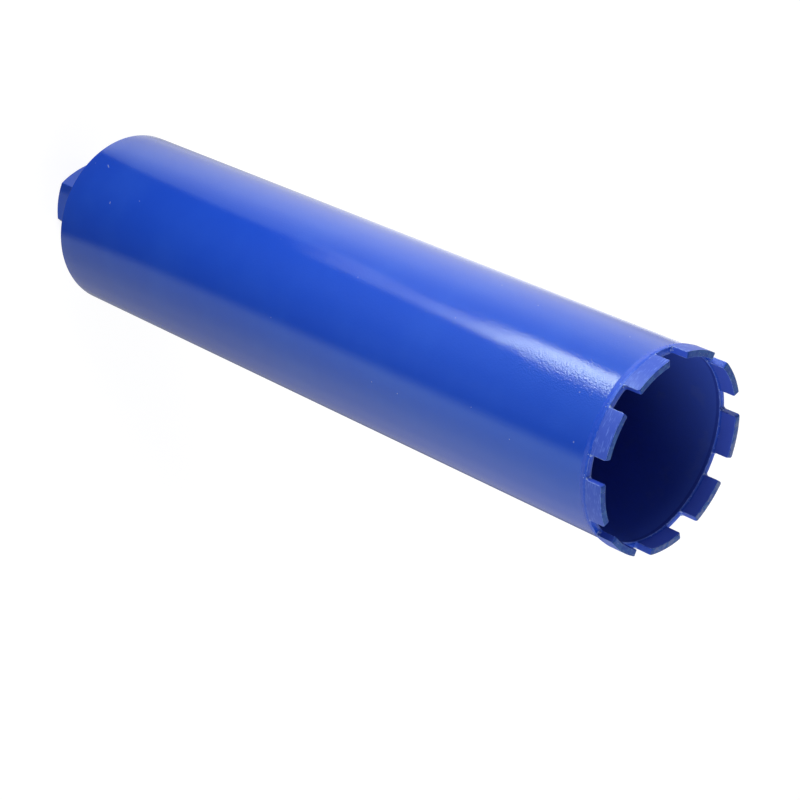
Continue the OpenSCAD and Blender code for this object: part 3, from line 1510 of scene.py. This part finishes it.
    def drop(self, turn: float, height: float, size: float) -> np.ndarray:
        """Grid of a drop of solder that froze on the collar, half sunk in it.

        Args:
            turn: Where it lies round the barrel, in radians.
            height: Its height above the barrel's front end, in millimetres.
            size: Its radius along the collar, in millimetres.

        Returns:
            Points in rows and columns.
        """
        lie = np.linspace(0, math.pi, self.drop_rows)[:, None]
        around = np.linspace(0, TAU, self.drop_columns, endpoint=False)[None, :]
        spread = size * np.sin(lie)
        radius = self.drop_base + size * self.drop_flatness * np.cos(lie)
        return turned(
            np.minimum(radius, self.outer_radius - self.margin),
            turn + spread * np.cos(around) / COLLAR_RADIUS,
            self.seat + height + spread * np.sin(around),
        )

    def build(self) -> list[bpy.types.Object]:
        """Makes all the segments and their solder.

        Returns:
            Their objects.
        """
        numbers = range(1, self.count + 1)
        return [self.segment(n) for n in numbers] + [self.solder(n) for n in numbers]


@dataclass(frozen=True)
class Lamp:
    """A flat rectangular soft light that hangs round the bit: degrees and metres."""

    name: str
    turn: float
    distance: float
    width: float
    tall: float
    radiance: float
    lift: float
    aim_lift: float

    def build(self) -> bpy.types.Object:
        """Hangs the lamp.

        Returns:
            The lamp's object.
        """
        light = bpy.data.lights.new(self.name, "AREA")
        light.shape = "RECTANGLE"
        light.size, light.size_y = self.width, self.tall
        light.energy = self.radiance * math.pi * self.width * self.tall
        lamp = bpy.data.objects.new(self.name, light)
        turn = math.radians(self.turn)
        lamp.location = (self.distance * math.cos(turn), self.distance * math.sin(turn), self.lift)
        self.face(lamp)
        lamp.visible_camera = False
        bpy.context.scene.collection.objects.link(lamp)
        return lamp

    def face(self, lamp: bpy.types.Object) -> None:
        """Points the lamp at the bit's axis, and has it give shade and no gloss.

        Args:
            lamp: The lamp's object.
        """
        towards = Vector((0, 0, self.aim_lift)) - lamp.location
        lamp.rotation_euler = towards.to_track_quat("-Z", "Y").to_euler()
        lamp.visible_glossy = False


@dataclass(frozen=True)
class Strip(Lamp):
    """A bright strip that lies on the floor and shows only in the enamel's gloss."""

    lift: float = 0.01
    aim_lift: float = 0.0
    heading: float = 0.0
    tint: Colour = (1.0, 0.79, 0.65)

    def face(self, lamp: bpy.types.Object) -> None:
        """Lays the strip on the floor along its heading, and has it give gloss and no shade.

        Args:
            lamp: The lamp's object.
        """
        lamp.rotation_euler = (math.pi, 0.0, math.radians(self.heading) + math.pi / 2)
        lamp.visible_diffuse = False
        lamp.data.color = self.tint


@dataclass(frozen=True)
class Fan:
    """Light boards that lie on the floor like a fan and show only in the enamel's gloss."""

    corner: Span
    heading: float
    stops: tuple[Span, ...]
    near: float = 1.0
    reach: Span = (0.05, 0.55)
    fade: float = 0.0
    fade_reach: Span = (0.45, 0.75)

    def glow(self, x: Field, y: Field) -> Field:
        """Brightness of the boards, which grows with the distance from the bit.

        Args:
            x: Place along X, in metres.
            y: Place along Y, in metres.

        Returns:
            The brightness, which follows the stops: pairs of an angle from the heading, in
            degrees, and the brightness there.
        """
        cos, sin = math.cos(math.radians(self.heading)), math.sin(math.radians(self.heading))
        east, north = x - self.corner[0], y - self.corner[1]
        ahead, aside = east * cos + north * sin, north * cos - east * sin
        angle = x.graph.math("ARCTAN2", aside, ahead) * (360 / TAU)
        total: Number = self.stops[0][1]
        for (start, low), (end, high) in zip(self.stops[:-1], self.stops[1:]):
            total = angle.step(start, end) * (high - low) + total
        away = (x * x + y * y) ** 0.5
        total = total * (away.step(*self.reach) * (1 - self.near) + self.near)
        return total * (1 - away.step(*self.fade_reach) * self.fade)


@dataclass
class Studio:
    """The pale floor, the white surroundings, the lamps and the camera.

    Places and lengths are in metres, and angles in degrees. The floor's matt finish counts with
    one share where the camera sees it and with another for the light that it sends back.
    """

    floor_side: float = 9.0
    floor_tint: Colour = (0.8, 0.8, 0.8)
    floor_cloud_tint: Colour = (0.7, 0.7, 0.7)
    floor_cloud: float = 0.25
    floor_cloud_share: float = 0.03
    floor_roughness: float = 0.5
    floor_white: float = 0.865
    floor_shown: float = 0.3
    floor_bounce: float = 0.49
    floor_gloss: float = 0.15
    sky_shade: float = 0.13
    sky_gloss: float = 0.7
    camera_position: Point = (0.102506, -0.937762, 1.07625)
    camera_aim: Point = (0.02804, 0.06602, 0.26)
    camera_roll: float = 114.75
    camera_lens: float = 97.57
    lamps: tuple[Lamp, ...] = (
        Lamp("key", turn=-124, distance=0.55, width=0.40, tall=0.40, radiance=6.0,
             lift=0.35, aim_lift=0.36),
        Lamp("fill", turn=1, distance=0.58, width=0.50, tall=0.50, radiance=3.05,
             lift=0.72, aim_lift=0.38),
        Lamp("back", turn=96, distance=1.2, width=0.9, tall=0.9, radiance=3.5,
             lift=0.8, aim_lift=0.25),
        Lamp("top", turn=60, distance=0.15, width=0.4, tall=0.4, radiance=0.75,
             lift=1.1, aim_lift=0.4),
        Strip("streak", turn=-125.6, distance=0.864, width=0.205, tall=0.6, radiance=16.4,
              heading=-115.6),
        Strip("streak_middle", turn=-128.4, distance=0.499, width=0.10, tall=0.10, radiance=3.0,
              heading=-116.5),
        Strip("streak_tail", turn=-129.5, distance=0.458, width=0.10, tall=0.28, radiance=1.8,
              heading=-116.5),
    )
    fans: tuple[Fan, ...] = (
        Fan(corner=(-0.045, -0.0475), heading=-141.5, near=0.80, reach=(0.05, 0.35),
            stops=((-86.0, 0.0), (-80.0, 1.18), (-60.0, 1.54), (-40.0, 1.70), (-22.0, 1.36),
                   (-8.0, 0.95), (-1.5, 0.90), (4.0, 0.0))),
        Fan(corner=(-0.045, -0.0475), heading=-141.5, near=0.42, reach=(0.05, 0.42),
            stops=((-127.0, 0.0), (-117.0, 1.20), (-104.0, 1.16), (-97.0, 0.0))),
        Fan(corner=(-0.045, -0.0475), heading=-141.5, near=0.80, reach=(0.05, 0.42), fade=0.38,
            stops=((-104.0, 0.0), (-97.0, 1.06), (-86.0, 1.10), (-80.0, 0.0))),
        Fan(corner=(0.0267, -0.0244), heading=-37.7, near=0.52, reach=(0.08, 0.60),
            stops=((-9.0, 0.0), (-6.8, 0.55), (-3.0, 0.66), (0.5, 1.36), (42.5, 1.24),
                   (67.5, 0.88), (91.5, 0.52), (104.5, 0.40), (116.5, 0.08), (127.5, 0.0))),
        Fan(corner=(0.0, 0.0), heading=-94.0, near=0.10, reach=(0.15, 0.55),
            stops=((-62.0, 0.0), (-44.0, 0.40), (-10.0, 0.80), (20.0, 0.50), (50.0, 0.22),
                   (75.0, 0.0))),
        Fan(corner=(-0.001, -0.0237), heading=-150.0, near=0.0, reach=(0.080, 0.064),
            stops=((-100.0, 0.0), (-75.0, 0.85), (0.0, 0.85), (6.0, 0.0))),
        Fan(corner=(0.0041, -0.0210), heading=-41.3, near=0.0, reach=(0.080, 0.064),
            stops=((-4.0, 0.0), (3.0, 0.7), (60.0, 0.7), (90.0, 0.0))),
    )

    def world(self) -> None:
        """Makes the white surroundings."""
        world = bpy.data.worlds.new("surroundings")
        bpy.context.scene.world = world
        world.use_nodes = True
        graph = Graph(world.node_tree)
        seen, gloss = graph.rays()
        strength = self.sky_shade + seen * (1 - self.sky_shade) + gloss * (self.sky_gloss - self.sky_shade)
        background = graph.node("ShaderNodeBackground", None, {"Color": WHITE, "Strength": strength})
        graph.node("ShaderNodeOutputWorld", None, {"Surface": background.outputs[0]})

    def floor(self) -> bpy.types.Object:
        """Makes the floor, white to the camera and pale in the gloss.

        Returns:
            The floor's object.
        """
        material = bpy.data.materials.new("pale_floor")
        material.use_nodes = True
        graph = Graph(material.node_tree)
        seen, gloss = graph.rays()
        spot = graph.node("ShaderNodeTexCoord").outputs["Object"]
        cloud = graph.noise(spot, self.floor_cloud) * self.floor_cloud_share
        colour = mix(cloud, self.floor_tint, self.floor_cloud_tint)
        roughness = self.floor_roughness
        matt = graph.node("ShaderNodeBsdfDiffuse", None, {"Color": colour, "Roughness": roughness})
        place = graph.node("ShaderNodeSeparateXYZ", None, {0: spot}).outputs
        x, y = Field(graph, place[0]), Field(graph, place[1])
        boards = sum(fan.glow(x, y) for fan in self.fans)
        strength = seen * self.floor_white + gloss * (boards + self.floor_gloss)
        glow = graph.node("ShaderNodeEmission", None, {"Color": WHITE, "Strength": strength})
        dark = graph.node("ShaderNodeBsdfDiffuse", None, {"Color": BLACK})
        bounce = self.floor_bounce
        share = seen * (bounce - self.floor_shown) + gloss * bounce + (1 - bounce)
        shade = graph.node("ShaderNodeMixShader", None, {0: share, 1: matt.outputs[0], 2: dark.outputs[0]})
        both = graph.node("ShaderNodeAddShader", None, {0: shade.outputs[0], 1: glow.outputs[0]})
        graph.node("ShaderNodeOutputMaterial", None, {"Surface": both.outputs[0]})
        half = self.floor_side / 2
        mesh = bpy.data.meshes.new("floor")
        corners = [(-half, -half, 0), (half, -half, 0), (half, half, 0), (-half, half, 0)]
        mesh.from_pydata(corners, [], [(0, 1, 2, 3)])
        mesh.materials.append(material)
        floor = bpy.data.objects.new("floor", mesh)
        bpy.context.scene.collection.objects.link(floor)
        return floor

    def camera(self) -> None:
        """Sets up the camera, rolled so that the standing bit lies across the picture."""
        data = bpy.data.cameras.new("camera")
        data.lens = self.camera_lens
        camera = bpy.data.objects.new("camera", data)
        towards = Vector(self.camera_aim) - Vector(self.camera_position)
        level = towards.to_track_quat("-Z", "Y").to_matrix()
        turn = level @ Matrix.Rotation(math.radians(self.camera_roll), 3, "Z")
        camera.matrix_world = Matrix.Translation(self.camera_position) @ turn.to_4x4()
        bpy.context.scene.collection.objects.link(camera)
        bpy.context.scene.camera = camera

    def build(self) -> list[bpy.types.Object]:
        """Sets up the studio.

        Returns:
            The floor and the lamps.
        """
        bpy.context.scene.view_settings.view_transform = "Standard"
        self.camera()
        self.world()
        return [self.floor()] + [lamp.build() for lamp in self.lamps]


def main() -> None:
    """Builds the studio and the bit, and reports each piece."""
    logging.basicConfig(level=logging.INFO, format="%(name)s: %(message)s")
    plate_bead = WeldBead(
        name="plate_bead", node="plate_weld", hidden=((51.8, 48.6), (51.8, 50.5)),
        toe=(49.9, 50.5), crest=(51.8, 48.6), ripples=186, ripple_depth=0.16, drift=0.14, seed=3.1,
    )
    hub_bead = WeldBead(
        name="hub_bead", node="hub_weld", hidden=((20.0, 46.5), (20.0, 50.5)),
        toe=(27.27, 50.5), crest=(24.27, 46.5), ripples=92, ripple_depth=0.22, drift=0.35, seed=7.7,
    )
    for part in (Studio(), Barrel(), Hub(), plate_bead, hub_bead, Crown()):
        for piece in part.build():
            faces = len(piece.data.polygons) if piece.type == "MESH" else 0
            LOG.info("%s made, %d faces", piece.name, faces)


if __name__ == "__main__":
    main()
